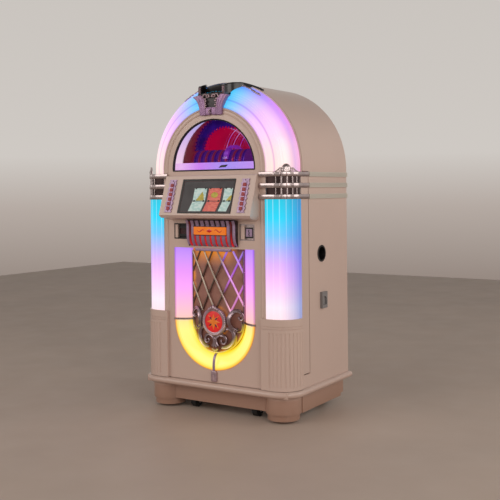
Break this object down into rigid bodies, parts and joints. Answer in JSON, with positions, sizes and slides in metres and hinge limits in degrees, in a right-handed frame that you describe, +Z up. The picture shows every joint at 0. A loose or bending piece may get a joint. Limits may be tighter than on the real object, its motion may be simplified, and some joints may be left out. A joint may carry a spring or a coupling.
{
  "type": "jukebox",
  "caption": "Arched floor-standing jukebox: hinged lit front door, slanted selector, chrome bonnet, U-shaped lit tube round a lattice grille, disc mechanism, swivel casters.",
  "frame": {"origin": "centre of the footprint at floor level", "axes": "+X to the right seen from the front, -Y out of the front, +Z up"},
  "size_m": [0.848, 0.6256, 1.52],
  "materials": {
    "cream_paint": "gloss",
    "bare_ply": "matte",
    "chrome_trim": "polished",
    "chrome_steel": "polished",
    "lit_lens": "satin",
    "clear_glass": "polished",
    "black_plastic": "matte",
    "dark_glass": "polished",
    "red_plastic": "gloss",
    "orange_plastic": "gloss",
    "grey_trim": "satin",
    "red_backdrop": "matte",
    "blue_plastic": "satin",
    "disc_silver": "polished",
    "grille_fabric": "matte",
    "speaker_black": "matte",
    "amp_metal": "satin",
    "wheel_rubber": "matte",
    "grey_plastic": "satin"
  },
  "bodies": {
    "cabinet": {"cabinet_side_left": "cream_paint", "cabinet_side_right": "cream_paint", "cabinet_arch_top": "cream_paint", "cabinet_floor": "bare_ply", "back_panel": "bare_ply", "base_moulding": "cream_paint", "base_apron": "cream_paint", "side_trims_left": "grey_trim", "side_trims_right": "grey_trim", "lock_cup": "black_plastic", "side_outlet": "grey_plastic", "door_hinges": "chrome_steel", "caster_plates": "chrome_steel", "mech_shelf": "bare_ply", "mech_backdrop": "red_backdrop", "comb_ring": "blue_plastic", "disc_rack": "black_plastic", "discs": "disc_silver", "amplifier": "amp_metal", "baffle_board": "bare_ply", "woofer": "speaker_black", "mains_inlet": "black_plastic"},
    "door": {"door_panel": "cream_paint", "door_arch": "cream_paint", "door_rim": "cream_paint", "window_glass": "clear_glass", "arch_lens": "lit_lens", "column_lens_left": "lit_lens", "column_lens_right": "lit_lens", "crown_left": "chrome_trim", "crown_right": "chrome_trim", "plinth_left": "cream_paint", "plinth_right": "cream_paint", "selector_housing": "cream_paint", "screen": "dark_glass", "selector_strips": "chrome_trim", "coin_bonnet": "chrome_trim", "sign_plate": "orange_plastic", "note_acceptor": "black_plastic", "coin_entry": "chrome_trim", "bubble_tube": "lit_lens", "tube_bands": "chrome_trim", "tube_tail": "chrome_trim", "grille_cloth": "grille_fabric", "grille_lattice": "chrome_trim", "medallion": "red_plastic", "top_crest": "chrome_trim"},
    "carriage": {"carriage": "grey_plastic"},
    "gripper": {"gripper_arm": "chrome_trim"},
    "spindle": {"spindle": "grey_trim"},
    "rocker": {"power_switch": "red_plastic"},
    "lock": {"lock_barrel": "chrome_steel"},
    "fork_fl": {"caster_fork_fl": "chrome_steel"},
    "wheel_fl": {"caster_wheel_fl": "wheel_rubber"},
    "fork_fr": {"caster_fork_fr": "chrome_steel"},
    "wheel_fr": {"caster_wheel_fr": "wheel_rubber"},
    "fork_rl": {"caster_fork_rl": "chrome_steel"},
    "wheel_rl": {"caster_wheel_rl": "wheel_rubber"},
    "fork_rr": {"caster_fork_rr": "chrome_steel"},
    "wheel_rr": {"caster_wheel_rr": "wheel_rubber"}
  },
  "joints": [
    {"name": "door_hinge", "type": "hinge", "parent": "cabinet", "child": "door", "pos_m": [-0.414, -0.0662, 0.6], "axis": [0, 0, -1], "range_deg": [0, 100]},
    {"name": "carriage_slide", "type": "slide", "parent": "cabinet", "child": "carriage", "axis": [1, 0, 0], "range_m": [-0.185, 0.22]},
    {"name": "gripper_swing", "type": "hinge", "parent": "carriage", "child": "gripper", "pos_m": [-0.025, 0.0898, 1.18], "axis": [-1, 0, 0], "range_deg": [0, 55]},
    {"name": "spindle_spin", "type": "hinge", "parent": "cabinet", "child": "spindle", "pos_m": [0.275, -0.0172, 1.24], "axis": [1, 0, 0], "continuous": true},
    {"name": "rocker_tilt", "type": "hinge", "parent": "cabinet", "child": "rocker", "pos_m": [-0.223, 0.2978, 0.236], "axis": [-1, 0, 0], "range_deg": [0, 14]},
    {"name": "lock_turn", "type": "hinge", "parent": "cabinet", "child": "lock", "pos_m": [0.372, 0.0518, 0.729], "axis": [1, 0, 0], "range_deg": [0, 90]},
    {"name": "swivel_fl", "type": "hinge", "parent": "cabinet", "child": "fork_fl", "pos_m": [-0.17, -0.1202, 0.09], "axis": [0, 0, 1], "continuous": true},
    {"name": "roll_fl", "type": "hinge", "parent": "fork_fl", "child": "wheel_fl", "pos_m": [-0.17, -0.1382, 0.03], "axis": [1, 0, 0], "continuous": true},
    {"name": "swivel_fr", "type": "hinge", "parent": "cabinet", "child": "fork_fr", "pos_m": [0.17, -0.1202, 0.09], "axis": [0, 0, 1], "continuous": true},
    {"name": "roll_fr", "type": "hinge", "parent": "fork_fr", "child": "wheel_fr", "pos_m": [0.17, -0.1382, 0.03], "axis": [1, 0, 0], "continuous": true},
    {"name": "swivel_rl", "type": "hinge", "parent": "cabinet", "child": "fork_rl", "pos_m": [-0.3, 0.2378, 0.09], "axis": [0, 0, 1], "continuous": true},
    {"name": "roll_rl", "type": "hinge", "parent": "fork_rl", "child": "wheel_rl", "pos_m": [-0.3, 0.2198, 0.03], "axis": [1, 0, 0], "continuous": true},
    {"name": "swivel_rr", "type": "hinge", "parent": "cabinet", "child": "fork_rr", "pos_m": [0.3, 0.2378, 0.09], "axis": [0, 0, 1], "continuous": true},
    {"name": "roll_rr", "type": "hinge", "parent": "fork_rr", "child": "wheel_rr", "pos_m": [0.3, 0.2198, 0.03], "axis": [1, 0, 0], "continuous": true}
  ]
}
